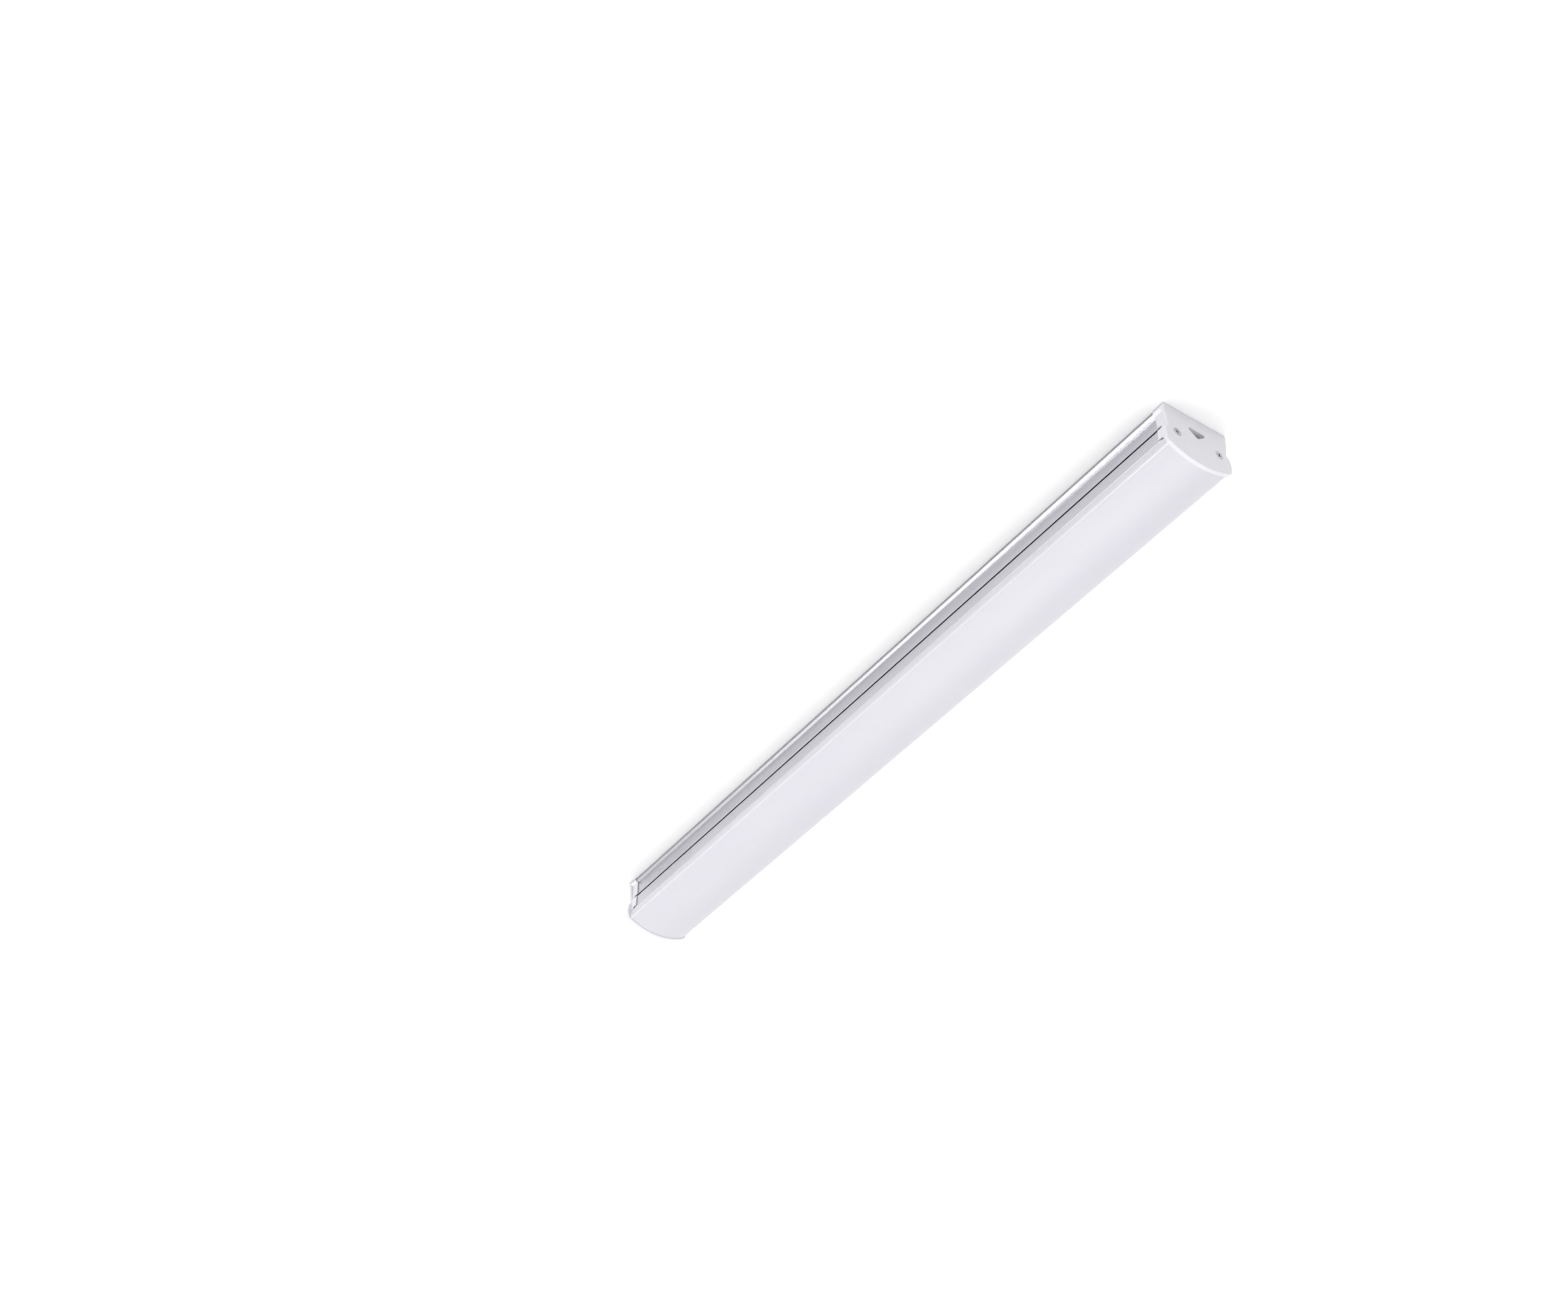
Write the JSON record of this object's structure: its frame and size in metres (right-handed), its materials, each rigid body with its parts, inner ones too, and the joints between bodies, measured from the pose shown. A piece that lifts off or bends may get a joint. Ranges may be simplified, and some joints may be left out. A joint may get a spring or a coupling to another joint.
{
  "type": "linear led batten light",
  "caption": "Slim linear LED batten light: aluminium housing, crowned opal cover, and a screwed end cap with a three-pin mains socket at each end.",
  "frame": {"origin": "centre of the flat mounting back, midway between the two end caps", "axes": "+X along the fixture towards the far end cap, +Z from the mounting back to the light side"},
  "size_m": [0.6, 0.052, 0.039],
  "materials": {
    "anodised_aluminium": "fine extruded, silver anodised",
    "opal_plastic": "satin opal polycarbonate",
    "white_plastic": "satin moulded white",
    "screw_steel": "zinc plated",
    "socket_plastic": "matte moulded dark grey",
    "contact_metal": "nickel plated brass",
    "board_white": "white solder mask on aluminium",
    "led_phosphor": "silicone",
    "thermal_tape": "soft grey pad",
    "black_rubber": "matte",
    "tray_plastic": "natural extruded",
    "circuit_board": "bare paper laminate",
    "terminal_green": "moulded",
    "black_epoxy": "moulded epoxy",
    "varistor_blue": "dipped epoxy",
    "ferrite": "sintered, ground",
    "copper_wire": "enamelled winding",
    "coil_tape": "polyester tape",
    "film_yellow": "moulded box",
    "can_sleeve": "shrink sleeve",
    "resistor_body": "lacquered",
    "wire_brown": "PVC insulation",
    "wire_blue": "PVC insulation",
    "wire_green_yellow": "PVC insulation",
    "wire_red": "PVC insulation",
    "wire_black": "PVC insulation",
    "tinned_metal": "tin plated"
  },
  "bodies": {
    "root": {"housing_extrusion": "anodised_aluminium", "opal_cover": "opal_plastic", "end_cap_near": "white_plastic", "end_cap_far": "white_plastic", "cap_screws_near": "screw_steel", "cap_screws_far": "screw_steel", "socket_insert_near": "socket_plastic", "socket_insert_far": "socket_plastic", "contact_pins_near": "contact_metal", "contact_pins_far": "contact_metal", "led_board": "board_white", "led_packages": "led_phosphor", "thermal_tape": "thermal_tape", "wire_bushing": "black_rubber", "driver_tray": "tray_plastic", "driver_board": "circuit_board", "input_terminal_block": "terminal_green", "output_terminal_block": "terminal_green", "line_fuse": "black_epoxy", "varistor": "varistor_blue", "choke_core": "ferrite", "choke_windings": "copper_wire", "film_capacitor": "film_yellow", "bridge_rectifier": "black_epoxy", "bulk_capacitor": "can_sleeve", "transformer_core": "ferrite", "transformer_bobbin": "black_epoxy", "transformer_winding": "coil_tape", "switching_transistor": "black_epoxy", "driver_chip": "black_epoxy", "output_capacitor": "can_sleeve", "output_diode": "black_epoxy", "resistors": "resistor_body", "wire_live_in": "wire_brown", "wire_neutral_in": "wire_blue", "wire_earth_in": "wire_green_yellow", "wire_live_through": "wire_brown", "wire_neutral_through": "wire_blue", "wire_earth_through": "wire_green_yellow", "wire_led_plus": "wire_red", "wire_led_minus": "wire_black", "earth_lugs": "tinned_metal", "earth_screw": "contact_metal"}
  },
  "joints": []
}
